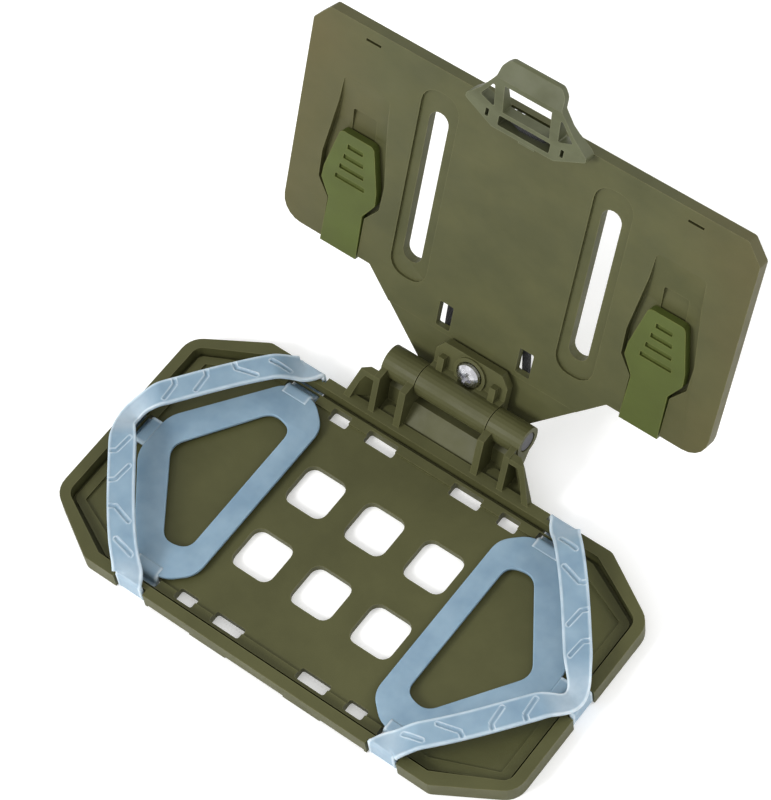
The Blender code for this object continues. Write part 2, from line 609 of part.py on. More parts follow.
def build_bracket_nut(shop, look):
    """Low hexagon nut on the screw, behind the plate."""
    low = SHEET_BACK + 2 * GAP + 0.9
    rings = [circle((0, SCREW_Z), 4.6, 6), circle((0, SCREW_Z), 2.5)]
    nut = shop.slab("bracket_nut", rings, "XZ", low, low + 2.6)
    return finish(nut, look)


def build_clip_lever(shop, name, side, look):
    """Front lever of a clip: it pivots at the plate's bottom edge, and its ribbed head is lifted."""
    outline = fillet(clip_outline(), [0, 1.0, 1.5, 3.0, 2.0, 2.0, 3.0, 1.5, 1.0, 0])
    lever = shop.slab(name, [shifted(outline, side * CLIP_X)], "XZ", FRONT - 0.6, FRONT + 2.2)
    knuckle = shop.rod("clip_knuckle", (0, *CLIP_PIVOT), "X", CLIP_PIVOT_R,
                       side * CLIP_X - 7.2, side * CLIP_X + 7.2, cutter=True, sides=16)
    join(lever, [knuckle])
    grooves = []
    for row, half in enumerate((3.1, 4.0, 4.9, 5.9)):
        z = 63.4 - 4.3 * row
        groove = rectangle(side * CLIP_X - half, side * CLIP_X + half, z - 0.9, z + 0.9, 0.3)
        grooves.append(shop.slab("grip_groove", [groove], "XZ", 0, FRONT + 0.3, cutter=True))
    cut(lever, grooves)
    return finish(lever, look)


def build_clip_tongue(shop, name, side, look):
    """Rear tongue of a clip: it starts under the plate's edge and runs up behind the plate."""
    x = side * CLIP_X
    back = BACK + GAP + 0.2
    front = CLIP_PIVOT[0] + CLIP_PIVOT_R + GAP
    foot = WING_LOW - GAP
    section = [(front, foot - 1.8), (back + 1.4, foot - 1.8), (back + 2.0, foot - 1.2), (back + 2.0, 84.0),
               (back + 1.2, 88.0), (back, 88.0), (back, foot), (front, foot)]
    tongue = shop.slab(name, [section], "YZ", x - 6.8, x + 6.8)
    return finish(tongue, look)


def catch_profile():
    """Side view of the catch: foot on the plate's face, leaning neck and curled thumb lip."""
    return [(CATCH_FRONT, 102.9), (CATCH_FRONT, 109.5), (0.95, 122.6), (3.2, 128.7), (4.3, 129.5),
            (5.3, 128.8), (3.9, 123.0), (4.6, 118.0), (CATCH_BACK, 110.9), (CATCH_BACK, 102.9)]


def build_top_catch(shop, look):
    """Sliding catch: a braced frame in front of the plate, a thumb lip, and a yoke behind a slot."""
    outline = mirrored([(11.6, 103.0), (22.4, 108.3), (22.4, 109.7), (17.2, 115.3), (13.3, 121.0),
                        (12.0, 123.0), (11.5, 126.6), (9.4, 128.7), (4.8, 129.3)])
    radii = [1.0, 0.8, 0.8, 4.0, 4.0, 2.0, 3.0, 2.5, 6.0]
    catch = shop.slab("top_catch", [fillet(outline, radii + radii[::-1])], "XZ", -2.0, 12.0)
    combine(catch, [shop.slab("catch_side", [catch_profile()], "YZ", -30.0, 30.0, cutter=True)], "INTERSECT")
    riser = shop.box("catch_riser", (-2.95, 6.65, 99.75), (2.95, CATCH_BACK - 0.05, 104.2), cutter=True)
    link = shop.box("catch_link", (-3.0, 6.7, 99.7), (3.0, BACK + 2.2, 101.7), cutter=True)
    yoke = shop.box("catch_yoke", (-7.0, BACK + 1.7, 98.3), (7.0, BACK + 3.3, 104.0), cutter=True)
    join(catch, [riser, link, yoke])
    cuts = [shop.box("catch_window", (-8.7, -5, 109.7), (8.7, 12, 120.6), cutter=True),
            shop.slab("cord_slot", [rectangle(-9.6, 9.6, CORD_Z - 1.8, CORD_Z + 1.8, 0.5)], "XZ", 0,
                      CATCH_BACK + 0.2, cutter=True)]
    for side in (-1, 1):
        brace = fillet([(side * 11.9, 110.3), (side * 17.2, 112.6), (side * 12.2, 120.2)], 0.5)
        cuts.append(shop.slab("brace_hole", [brace], "XZ", -2, CATCH_BACK + 0.2, cutter=True))
        notch = rectangle(*sorted((side * 13.4, side * 14.6)), 105.6, 108.4, 0.3)
        cuts.append(shop.slab("brace_notch", [notch], "XZ", 0, CATCH_BACK + 0.2, cutter=True))
    cut(catch, cuts)
    return finish(catch, look)


def cord_route():
    """Shock cord's centre line: up behind the left window, across in front at the catch, and down."""
    behind = SHEET_BACK + GAP + CORD_R
    ahead = CATCH_BACK - CORD_R - 0.1
    rise = [(-15.9, behind, 2.0), (-15.9, behind, 11.0), (-16.3, behind, 24.0), (-16.0, behind, 60.0),
            (-15.2, behind, 84.0), (-12.4, behind, 95.0), (-8.9, behind, 102.4)]
    fall = [(8.9, behind, 102.4), (11.6, behind, 93.0), (13.6, behind, 80.0), (13.8, behind, 50.0),
            (13.6, behind, 24.0), (15.9, behind, 10.0), (15.9, behind, 2.0)]
    over = [(-7.2, behind - 1.6, CORD_Z - 0.4), (-6.9, 9.2, CORD_Z), (-5.4, ahead + 0.3, CORD_Z),
            (-3.0, ahead, CORD_Z)]
    return rise + over + [(-x, y, z) for x, y, z in reversed(over)] + fall


def smooth_route(points, spacing):
    """Points read every spacing along a smooth curve through the given points."""
    route = [Vector(p) for p in points]
    ends = [2 * route[0] - route[1]] + route + [2 * route[-1] - route[-2]]
    dense = []
    for before, a, b, after in zip(ends, ends[1:], ends[2:], ends[3:]):
        lean_a = (b - before).normalized() * (b - a).length
        lean_b = (after - a).normalized() * (b - a).length
        for k in range(16):
            t = k / 16
            dense.append((2 * t**3 - 3 * t**2 + 1) * a + (t**3 - 2 * t**2 + t) * lean_a
                         + (3 * t**2 - 2 * t**3) * b + (t**3 - t**2) * lean_b)
    dense.append(route[-1])
    out, run = [dense[0]], 0.0
    for a, b in zip(dense, dense[1:]):
        run += (b - a).length
        if run >= spacing:
            out.append(b)
            run = 0.0
    out[-1] = dense[-1]
    return out


def build_shock_cord(shop, look):
    curve = bpy.data.curves.new("shock_cord", "CURVE")
    curve.dimensions = "3D"
    curve.bevel_depth = CORD_R * MM
    curve.bevel_resolution = 2
    curve.use_fill_caps = True
    curve.render_resolution_u = 0
    points = smooth_route(cord_route(), 4.0)
    spline = curve.splines.new("POLY")
    spline.points.add(len(points) - 1)
    for point, place in zip(spline.points, points):
        point.co = (*(place * MM), 1)
    cord = shop.place(bpy.data.objects.new("shock_cord", curve))
    curve.materials.append(look)
    return cord


def build_cord_knot(shop, name, side, look):
    """Stopper knot under the bar that the cord passes through."""
    shape = bmesh.new()
    bmesh.ops.create_uvsphere(shape, u_segments=16, v_segments=10, radius=2.9 * MM)
    bmesh.ops.scale(shape, vec=(1.0, 0.75, 0.9), verts=shape.verts)
    bmesh.ops.translate(shape, vec=Vector((side * WINDOW_X, SHEET_BACK + 2.5, -1.0)) * MM, verts=shape.verts)
    mesh = bpy.data.meshes.new(name)
    shape.to_mesh(mesh)
    shape.free()
    return finish(shop.place(bpy.data.objects.new(name, mesh)), look, smooth=True)


# ---- assembly ------------------------------------------------------------------------------

def main():
    for obj in list(bpy.data.objects):
        bpy.data.objects.remove(obj)
    shop = Workshop(collection("phone_mount"), collection("cutters"))

    olive = material("olive_plastic", (0.115, 0.108, 0.058), 0.55)
    clip_green = material("clip_plastic", (0.125, 0.130, 0.060), 0.5)
    silicone = material("silicone", (0.48, 0.62, 0.72), 0.4)
    elastic = material("shock_cord", (0.012, 0.012, 0.014), 0.8)
    steel = material("dark_steel", (0.12, 0.12, 0.13), 0.35, 1.0)
    chrome = material("bright_steel", (0.75, 0.75, 0.77), 0.2, 1.0)
    nylon = material("black_nylon", (0.02, 0.02, 0.02), 0.5)

    origin = bpy.data.objects.new("mount_origin", None)
    shop.parts.objects.link(origin)
    origin.location = (0, ORIGIN_SHIFT * MM, 0)
    shop.parent = origin
    build_tray(shop, olive)
    build_hinge_pin(shop, steel)
    build_pin_cap(shop, steel)
    for side, word in ((-1, "left"), (1, "right")):
        build_friction_washer(shop, "friction_washer_" + word, side, nylon)
        build_band(shop, "band_" + word, side, silicone)

    pivot = bpy.data.objects.new("plate_pivot", None)
    shop.parts.objects.link(pivot)
    pivot.parent = origin
    pivot.location = (0, 0, AXIS_Z * MM)
    pivot.rotation_euler = (math.radians(-OPEN_LEAN), 0, 0)
    shop.parent = pivot
    build_back_plate(shop, olive)
    build_hinge_bracket(shop, olive)
    build_bracket_screw(shop, chrome)
    build_screw_washer(shop, steel)
    build_bracket_nut(shop, steel)
    build_top_catch(shop, olive)
    build_shock_cord(shop, elastic)
    for side, word in ((-1, "left"), (1, "right")):
        build_clip_lever(shop, "clip_lever_" + word, side, clip_green)
        build_clip_tongue(shop, "clip_tongue_" + word, side, clip_green)
        build_cord_knot(shop, "cord_knot_" + word, side, elastic)


main()
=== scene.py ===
"""Looks of the flip-down phone mount: materials for the moulded parts, and detailed silicone bands."""
import math

import bmesh
import bpy
from mathutils import Matrix, Vector


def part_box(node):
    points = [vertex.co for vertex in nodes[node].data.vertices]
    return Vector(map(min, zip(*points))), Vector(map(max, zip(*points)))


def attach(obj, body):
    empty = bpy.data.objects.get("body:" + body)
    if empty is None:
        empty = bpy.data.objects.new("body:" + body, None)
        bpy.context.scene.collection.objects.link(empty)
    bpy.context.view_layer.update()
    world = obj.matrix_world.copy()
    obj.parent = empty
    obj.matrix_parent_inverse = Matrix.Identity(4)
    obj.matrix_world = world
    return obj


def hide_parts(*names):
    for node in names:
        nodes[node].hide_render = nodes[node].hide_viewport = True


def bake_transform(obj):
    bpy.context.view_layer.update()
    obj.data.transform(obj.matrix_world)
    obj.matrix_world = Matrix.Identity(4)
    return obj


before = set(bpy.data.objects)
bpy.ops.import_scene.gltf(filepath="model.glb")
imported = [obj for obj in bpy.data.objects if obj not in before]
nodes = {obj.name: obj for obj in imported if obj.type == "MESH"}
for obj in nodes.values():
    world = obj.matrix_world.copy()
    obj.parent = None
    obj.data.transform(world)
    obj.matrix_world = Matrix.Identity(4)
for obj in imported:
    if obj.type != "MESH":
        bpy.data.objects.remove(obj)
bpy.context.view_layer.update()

MM = 0.001

# Places taken from the frame
tray_low, tray_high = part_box("tray")
HALF_LENGTH = tray_high.x
FRONT_EDGE = tray_low.y
TRAY_DEPTH = 97.9 * MM
MID_Y = FRONT_EDGE + TRAY_DEPTH / 2
BACK_EDGE = FRONT_EDGE + TRAY_DEPTH


# ---- node helpers --------------------------------------------------------------------------

class Shader:
    """A new material with short ways to add and link its nodes."""

    def __init__(self, name):
        self.material = bpy.data.materials.new(name)
        self.material.use_nodes = True
        self.tree = self.material.node_tree
        self.surface = self.tree.nodes["Principled BSDF"]
        self.place = self.add("ShaderNodeTexCoord").outputs["Object"]

    def add(self, kind, inputs=None, **settings):
        node = self.tree.nodes.new(kind)
        for key, value in settings.items():
            setattr(node, key, value)
        for key, value in (inputs or {}).items():
            self.plug(node.inputs[key], value)
        return node

    def plug(self, socket, value):
        if isinstance(value, bpy.types.NodeSocket):
            self.tree.links.new(value, socket)
        else:
            socket.default_value = value

    def set(self, **values):
        for key, value in values.items():
            self.plug(self.surface.inputs[key.replace("_", " ")], value)

    def noise(self, scale, detail=3.0, roughness=0.5, stretch=None, distortion=0.0):
        place = self.place
        if stretch:
            place = self.add("ShaderNodeMapping", {"Vector": place, "Scale": stretch}).outputs[0]
        return self.add("ShaderNodeTexNoise", {"Vector": place, "Scale": scale, "Detail": detail,
                                               "Roughness": roughness, "Distortion": distortion}).outputs[0]

    def ramp(self, value, low, high, start=0.0, end=1.0):
        return self.add("ShaderNodeMapRange", {"Value": value, "From Min": low, "From Max": high,
                                               "To Min": start, "To Max": end}).outputs[0]

    def mix(self, factor, a, b):
        node = self.add("ShaderNodeMix", data_type="RGBA")
        self.plug(node.inputs[0], factor)
        self.plug(node.inputs[6], a)
        self.plug(node.inputs[7], b)
        return node.outputs[2]

    def math(self, operation, a, b=0.0):
        node = self.add("ShaderNodeMath", operation=operation)
        self.plug(node.inputs[0], a)
        self.plug(node.inputs[1], b)
        return node.outputs[0]

    def bump(self, height, distance, normal=None):
        node = self.add("ShaderNodeBump", {"Height": height, "Distance": distance, "Strength": 1.0})
        if normal:
            self.plug(node.inputs["Normal"], normal)
        return node.outputs[0]

    def edges(self, radius):
        """0 on flat faces, rising to 1 on sharp edges."""
        rounded = self.add("ShaderNodeBevel", {"Radius": radius}, samples=4).outputs[0]
        flat = self.add("ShaderNodeNewGeometry").outputs["Normal"]
        dot = self.add("ShaderNodeVectorMath", {0: rounded, 1: flat}, operation="DOT_PRODUCT")
        return self.ramp(dot.outputs["Value"], 0.995, 0.85)


def rgb(red, green, blue):
    """A colour from its 0 to 255 display values."""
    def linear(value):
        value /= 255
        return value / 12.92 if value <= 0.04045 else ((value + 0.055) / 1.055) ** 2.4
    return (linear(red), linear(green), linear(blue), 1.0)


def moulded_plastic(name, colour, edge_highlight, shade, warm=None):
    """Spark-textured nylon: grain, faint flow marks, painted highlights along the edges, a warmer cast
    towards the ends.
    """
    look = Shader(name)
    flow = look.ramp(look.noise(38.0, 4.0, 0.6, stretch=(1.0, 1.0, 1.6)), 0.35, 0.65)
    base = look.mix(flow, shade, colour)
    if warm:
        apart = look.math("ABSOLUTE", look.add("ShaderNodeSeparateXYZ", {"Vector": look.place}).outputs["X"])
        far = look.math("ADD", apart, look.ramp(look.noise(26.0), 0.3, 0.7, -0.012, 0.012))
        base = look.mix(look.ramp(far, 0.055, 0.098, 0.0, 0.65), base, warm)
    # painted highlight: sharp edges lightened towards the edge highlight colour, patchy by noise
    edge_highlight_mask = look.math("MULTIPLY", look.edges(0.5 * MM), look.ramp(look.noise(300.0, 3.0), 0.3, 0.7, 0.25, 0.8))
    sheen = look.ramp(look.noise(120.0), 0.3, 0.7, 0.46, 0.58)
    look.set(Base_Color=look.mix(edge_highlight_mask, base, edge_highlight), Roughness=sheen, Specular_IOR_Level=0.24)
    grain = look.bump(look.noise(2600.0, 2.0, 0.6), 0.035 * MM)
    look.set(Normal=look.bump(look.noise(160.0, 2.0), 0.03 * MM, grain))
    return look.material


def silicone():
    """Cloudy blue-grey silicone, lighter where its vertex layer says so: real whitening where stretched,
    painted highlight on edge beads and groove outlines.
    """
    look = Shader("silicone")
    cloud = look.ramp(look.noise(90.0, 3.0), 0.3, 0.7)
    base = look.mix(cloud, rgb(122, 149, 169), rgb(143, 168, 185))
    pale_and_highlight = look.add("ShaderNodeAttribute", attribute_name="pale_and_highlight").outputs["Fac"]
    # lighter silicone: real whitening where stretched, painted highlight on edge beads and groove outlines
    frost_and_highlight = look.math("MULTIPLY", pale_and_highlight, look.ramp(look.noise(260.0), 0.3, 0.7, 0.55, 0.95))
    base = look.mix(frost_and_highlight, base, rgb(212, 222, 228))
    look.set(Base_Color=base, Roughness=look.ramp(look.noise(240.0), 0.3, 0.7, 0.3, 0.42))
    look.set(Subsurface_Weight=0.5, Subsurface_Scale=0.002, Specular_IOR_Level=0.5, IOR=1.41)
    look.surface.inputs["Subsurface Radius"].default_value = (0.7, 0.9, 1.0)
    look.set(Normal=look.bump(look.noise(500.0, 2.0), 0.02 * MM))
    return look.material


def steel(name, colour, roughness, streaks):
    """Brushed or turned metal; streaks stretches the marks along an axis."""
    look = Shader(name)
    brushed = look.noise(900.0, 2.0, 0.5, stretch=streaks)
    brighter = tuple(min(1.0, c * 1.25) for c in colour[:3]) + (1.0,)
    tint = look.mix(look.ramp(brushed, 0.3, 0.7), colour, brighter)
    dull = look.ramp(brushed, 0.3, 0.7, roughness, roughness + 0.15)
    look.set(Base_Color=tint, Metallic=1.0, Roughness=dull)
    look.set(Normal=look.bump(brushed, 0.01 * MM))
    return look.material


def braided_cord():
    """Black elastic cord: the sheath's yarns show as a fine diagonal check."""
    look = Shader("braided_cord")
    waves = []
    for turn in (0.9, -0.9):
        lean = look.add("ShaderNodeMapping", {"Vector": look.place, "Rotation": (turn, turn, 0.0)}).outputs[0]
        wave = look.add("ShaderNodeTexWave", {"Vector": lean, "Scale": 420.0, "Distortion": 0.6},
                        wave_type="BANDS")
        waves.append(wave.outputs["Fac"])
    check = look.math("MULTIPLY", waves[0], waves[1])
    look.set(Base_Color=look.mix(check, rgb(9, 9, 12), rgb(30, 31, 36)), Roughness=0.7)
    look.set(Normal=look.bump(check, 0.15 * MM), Sheen_Weight=0.08)
    return look.material


def plain_nylon():
    """Matt black plastic, for the friction washers."""
    look = Shader("black_nylon")
    tint = look.mix(look.noise(400.0), rgb(20, 20, 21), rgb(34, 34, 35))
    look.set(Base_Color=tint, Roughness=0.5, Normal=look.bump(look.noise(1500.0), 0.02 * MM))
    return look.material


# the third colour of each plastic is its painted edge highlight
OLIVE = moulded_plastic("olive_plastic", rgb(82, 82, 50), rgb(112, 110, 74), rgb(74, 74, 44))
PLATE_OLIVE = moulded_plastic("plate_plastic", rgb(82, 82, 50), rgb(112, 110, 74), rgb(73, 74, 45),
                              warm=rgb(92, 82, 48))
# a lighter, greyer copy of the olive plastic for the catch: painted sheen where its thumb face catches the
# light
CATCH_OLIVE_LIT = moulded_plastic("catch_plastic_lit", rgb(92, 95, 70), rgb(126, 128, 100), rgb(76, 78, 54))
CLIP_OLIVE = moulded_plastic("clip_plastic", rgb(78, 88, 38), rgb(118, 120, 62), rgb(72, 80, 34))
SILICONE = silicone()
DARK_STEEL = steel("dark_steel", rgb(74, 74, 78), 0.35, (1.0, 4.0, 4.0))
BRIGHT_STEEL = steel("bright_steel", rgb(200, 200, 204), 0.14, (6.0, 6.0, 1.0))
CORD = braided_cord()
NYLON = plain_nylon()


# ---- moulded and turned pieces from the frame ----------------------------------------------

WELD_GAP = 0.000002
SOFT_EDGE = 0.3 * MM


def dress(name, look, edge=0.0):
    """Give a CAD node its material and small rounded edges."""
    node = nodes[name]
    node.data.materials.clear()
    node.data.materials.append(look)
    weld = node.modifiers.new("weld", "WELD")
    weld.merge_threshold = WELD_GAP
    if edge:
        flat = node.modifiers.new("flat", "DECIMATE")
        flat.decimate_type = "DISSOLVE"
        flat.angle_limit = math.radians(0.6)
        bevel = node.modifiers.new("edges", "BEVEL")
        bevel.width = edge
        bevel.segments = 2
        bevel.limit_method = "ANGLE"
        bevel.angle_limit = math.radians(32)
        bevel.harden_normals = True
        bevel.use_clamp_overlap = True


dress("tray", OLIVE, SOFT_EDGE)
dress("back_plate", PLATE_OLIVE, SOFT_EDGE)
dress("hinge_bracket", OLIVE, SOFT_EDGE)
# the catch gets the lighter copy of the plastic, with its painted sheen
dress("top_catch", CATCH_OLIVE_LIT, 0.35 * MM)
for word in ("left", "right"):
    dress("clip_lever_" + word, CLIP_OLIVE, 0.35 * MM)
    dress("clip_tongue_" + word, CLIP_OLIVE, 0.4 * MM)
    dress("friction_washer_" + word, NYLON)
    dress("cord_knot_" + word, CORD)
dress("hinge_pin", DARK_STEEL, 0.2 * MM)
dress("pin_cap", DARK_STEEL, 0.2 * MM)
dress("screw_washer", DARK_STEEL)
dress("bracket_nut", DARK_STEEL, 0.2 * MM)
dress("bracket_screw", BRIGHT_STEEL, 0.12 * MM)


def stretching_cord():
    """The shock cord as its own smooth-shaded piece in the cord material, with the CAD node hidden."""
    source = nodes["shock_cord"]
    made = bpy.data.objects.new("elastic_cord", source.data.copy())
    bpy.context.scene.collection.objects.link(made)
    made.matrix_world = source.matrix_world
    made.data.materials.clear()
    made.data.materials.append(CORD)
    made.data.shade_smooth()
    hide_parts("shock_cord")
    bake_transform(made)


stretching_cord()


# ---- silicone bands ------------------------------------------------------------------------

THICK = 1.4              # mm, as are the other lengths in this part
WRAP_WIDTH = 10.4
ARM_WIDTH = 9.2
NECK_WIDTH = 7.0         # where the two arms meet at the tray's short side
WRAP_X = 51.0
WEB_Z = 4.6
UNDER_Z = 0.95
ARM_Z = 13.9
ARM_END_Z = 8.7          # height of the arm's middle line where it leaves the rim
WALL_INSET = 1.15        # how far the strap's middle line lies inside the tray's outer wall
SLOT_INSET = 8.1         # the same where it passes down through the floor
WEB_END = 12.0           # the same where a wrap begins on the web
WALL_TOP = 7.4
ARM_BOW = 2.0            # how far the arms bow outwards in plan
STEP = 0.35              # between rows along the strap
EDGE_RADIUS = 0.5
EDGE_BAND = 0.8          # the strip along each edge with closer columns
COLUMN_STEP = 0.34
LIP_RISE = 0.16          # the low bead along both edges
GROOVE_HALF = 0.62
GROOVE_DEPTH = 0.42
OUTLINE_RISE = 0.20      # the raised outline round a groove
OUTLINE_REACH = 1.12
OFF_ARM = 99.0           # the run given to rows that belong to the wraps


def rounded_path(corners, radius, step):
    """Points every step along a polyline whose corners are rounded."""
    corners = [Vector(c) for c in corners]
    steps = 12
    dense = [corners[0]]
    for before, corner, after in zip(corners, corners[1:], corners[2:]):
        reach = min(radius, (corner - before).length * 0.45, (after - corner).length * 0.45)
        start = corner + (before - corner).normalized() * reach
        end = corner + (after - corner).normalized() * reach
        for k in range(steps + 1):
            t = k / steps
            dense.append(start.lerp(corner, t).lerp(corner.lerp(end, t), t))
    dense.append(corners[-1])
    out, left = [dense[0]], step
    for a, b in zip(dense, dense[1:]):
        length = (b - a).length
        while left <= length and length > 0:
            out.append(a.lerp(b, left / length))
            left += step
        left -= length
    return out


def smooth(t):
    """A ramp from 0 to 1 with soft ends."""
    t = min(max(t, 0.0), 1.0)
    return t * t * (3 - 2 * t)


def groove_lines(arm_length):
    """The outlined grooves of one arm: (along, across) corners, across positive towards the outer edge."""
    half = ARM_WIDTH / 2
    return [[(7.6, -2.0), (12.6, 2.0)],
            [(18.2, -2.4), (24.4, 1.7), (24.7, half - 0.5)],
            [(arm_length - 23.0, -2.5), (arm_length - 27.6, 1.7), (arm_length - 27.8, half - 0.5)],
            [(arm_length - 12.4, -2.4), (arm_length - 16.8, 1.7), (arm_length - 17.0, half - 0.5)]]


def groove_depth(along, across, lines):
    """Groove floor with a raised rim on both sides, from the distance to the nearest line."""
    nearest = 99.0
    for line in lines:
        for (u0, v0), (u1, v1) in zip(line, line[1:]):
            du, dv = u1 - u0, v1 - v0
            t = min(1.0, max(0.0, ((along - u0) * du + (across - v0) * dv) / (du * du + dv * dv)))
            nearest = min(nearest, math.hypot(along - u0 - t * du, across - v0 - t * dv))
    if nearest < GROOVE_HALF:
        return -GROOVE_DEPTH * smooth((GROOVE_HALF - nearest) / 0.3)
    return OUTLINE_RISE * smooth((nearest - GROOVE_HALF) / 0.15) * smooth((OUTLINE_REACH - nearest) / 0.3)


def columns(width):
    """Places across a ribbon, closer together where its edges are rounded."""
    half = width / 2
    edge = [0.0, 0.06, 0.16, 0.32, EDGE_RADIUS, EDGE_BAND]
    flat = width - 2 * EDGE_BAND
    count = max(2, int(flat / COLUMN_STEP))
    inner = [-half + EDGE_BAND + flat * k / count for k in range(1, count)]
    return [-half + e for e in edge] + inner + [half - e for e in reversed(edge)]


def edge_drop(place, half):
    """How far the rounded edge lies under the ribbon's flat face."""
    beyond = max(0.0, EDGE_RADIUS - half + abs(place))
    return EDGE_RADIUS - math.sqrt(max(0.0, EDGE_RADIUS ** 2 - beyond ** 2))


def ribbon(shape, stations, relief, stretch):
    """A closed strap along stations of (centre, side direction, width); relief(row, across) raises its face.

    A vertex layer marks the lighter places: real whitening where stretch(row) says the silicone is stretched,
    and painted highlight on the rimmed places, the edge beads and raised groove outlines.
    """
    pale_and_highlight = shape.verts.layers.float.new("pale_and_highlight")
    count = len(columns(WRAP_WIDTH))
    rings = []
    for row, (centre, side, width) in enumerate(stations):
        before = stations[max(row - 1, 0)][0]
        after = stations[min(row + 1, len(stations) - 1)][0]
        normal = side.cross(after - before).normalized()
        scale = width / WRAP_WIDTH
        top, bottom = [], []
        for place in columns(WRAP_WIDTH):
            across = place * scale
            drop = edge_drop(place, WRAP_WIDTH / 2)
            bead = smooth((abs(place) - WRAP_WIDTH / 2 + 1.3) / 0.5)
            raised = relief(row, across)
            under = THICK / 2 - drop
            face = under + LIP_RISE * bead + raised
            # edge bead: painted highlight; stretch(row): real whitening where stretched
            stretch_and_bead_highlight = 0.6 * bead + stretch(row)
            top.append(shape.verts.new((centre + side * across + normal * face) * MM))
            # raised groove outlines: painted highlight
            top[-1][pale_and_highlight] = min(1.0, stretch_and_bead_highlight + 0.85 * max(0.0, raised) / OUTLINE_RISE)
            bottom.append(shape.verts.new((centre + side * across - normal * under) * MM))
            bottom[-1][pale_and_highlight] = min(1.0, stretch_and_bead_highlight)
        rings.append(top + bottom[::-1])
    total = 2 * count
    for a, b in zip(rings, rings[1:]):
        for k in range(total):
            shape.faces.new((a[k], a[(k + 1) % total], b[(k + 1) % total], b[k]))
    shape.faces.new(rings[0])
    shape.faces.new(rings[-1][::-1])


def wrap_stations(edge_point, inward, across):
    """From the web's end down through the slot, under the rim and up its outer wall."""
    outline = [(WEB_END, WEB_Z), (SLOT_INSET, WEB_Z), (SLOT_INSET, UNDER_Z), (WALL_INSET, UNDER_Z),
               (WALL_INSET, WALL_TOP)]
    corners = [edge_point + inward * a + Vector((0, 0, z)) for a, z in outline]
    return [(point, across, WRAP_WIDTH) for point in rounded_path(corners, 1.3, STEP * 1.6)]


def arm_height(run, length):
    """Height of the arm's middle line: up over the phone's edge, and down again at the short side."""
    climb = ARM_Z - ARM_END_Z
    rise_run, fall_run = 13.0, 12.0
    return ARM_END_Z + climb * (smooth(run / rise_run) - smooth((run - length + fall_run) / fall_run))


def band_plan(side):
    """Plan of the two arms, from the front long side to the short side and back, slightly bowed outwards."""
    start = Vector((WRAP_X, FRONT_EDGE / MM + WALL_INSET, 0))
    corner = Vector((HALF_LENGTH / MM - 0.9, MID_Y / MM, 0))
    outward = Vector((corner.y - start.y, start.x - corner.x, 0)).normalized()
    front = []
    steps = 24
    for k in range(steps + 1):
        t = k / steps
        front.append(start.lerp(corner, t) + outward * ARM_BOW * math.sin(math.pi * t) * (1.1 - t))
    back = [Vector((p.x, 2 * corner.y - p.y, 0)) for p in reversed(front[:-1])]
    path = rounded_path(front + back, 0.6, STEP)
    bend_reach, bend_steps = 7.5, 40
    straight = [p for p in path if (p - corner).length > bend_reach]
    half = len(straight) // 2
    a, b = straight[half - 1], straight[half]
    bend = []
    for k in range(1, bend_steps):
        t = k / bend_steps
        bend.append(a.lerp(corner, t).lerp(corner.lerp(b, t), t))
    path = straight[:half] + bend + straight[half:]
    return [Vector((side * p.x, p.y, 0)) for p in path]


def arm_stations(side):
    """Stations of both arms, and how far each lies along its own arm from the long side."""
    plan = band_plan(side)
    runs = [0.0]
    for a, b in zip(plan, plan[1:]):
        runs.append(runs[-1] + (b - a).length)
    total = runs[-1]
    stations, places = [], []
    for k, point in enumerate(plan):
        along = (plan[min(k + 1, len(plan) - 1)] - plan[max(k - 1, 0)]).normalized()
        run = min(runs[k], total - runs[k])
        across = Vector((1, 0, 0)).lerp(Vector((along.y, -along.x, 0)), smooth(run / 4.5)).normalized()
        lift = arm_height(run, total / 2)
        width = ARM_WIDTH + (WRAP_WIDTH - ARM_WIDTH) * (1 - smooth(run / 7.0))
        width += (NECK_WIDTH - ARM_WIDTH) * smooth((run - total / 2 + 14.0) / 12.0)
        stations.append((point + Vector((0, 0, lift)), across, width))
        places.append(run)
    return stations, places


def web_sheet(shape, side):
    """Flat web on the tray's floor, with its hole and softly rounded edges."""
    x_in, front, back = HALF_LENGTH / MM - WEB_END, FRONT_EDGE / MM, BACK_EDGE / MM
    middle = MID_Y / MM
    outer = [(36.0, front + 16.0), (44.0, front + 8.8), (56.2, front + 8.8), (x_in, middle - 8.0),
             (x_in, middle + 8.0), (56.2, back - 8.8), (44.0, back - 8.8), (36.0, back - 16.0)]
    hole = [(44.0, front + 22.0), (53.0, front + 20.0), (73.4, middle), (53.0, back - 20.0),
            (44.0, back - 22.0)]
    curve = bpy.data.curves.new("web", "CURVE")
    curve.dimensions = "2D"
    curve.fill_mode = "BOTH"
    rounding = 0.35 * MM
    curve.extrude = 0.32 * MM
    curve.bevel_depth = rounding
    curve.bevel_resolution = 3
    curve.offset = -rounding
    for corners, radius in ((outer, 4.0), (hole, 4.5)):
        ring = [Vector((side * x, y, 0)) for x, y in corners]
        start = ring[0].lerp(ring[-1], 0.5)
        path = rounded_path([start] + ring + [start], radius, 0.6)
        spline = curve.splines.new("POLY")
        spline.points.add(len(path) - 2)
        spline.use_cyclic_u = True
        for point, place in zip(spline.points, path[:-1]):
            point.co = (place.x * MM, place.y * MM, 0, 1)
    made = bpy.data.objects.new("web", curve)
    bpy.context.scene.collection.objects.link(made)
    bpy.context.view_layer.update()
    sheet = bpy.data.meshes.new_from_object(made.evaluated_get(bpy.context.evaluated_depsgraph_get()))
    bpy.data.objects.remove(made)
    sheet.transform(Matrix.Translation((0, 0, WEB_Z * MM)))
    shape.from_mesh(sheet)
    bpy.data.meshes.remove(sheet)
    bmesh.ops.remove_doubles(shape, verts=shape.verts, dist=0.002 * MM)


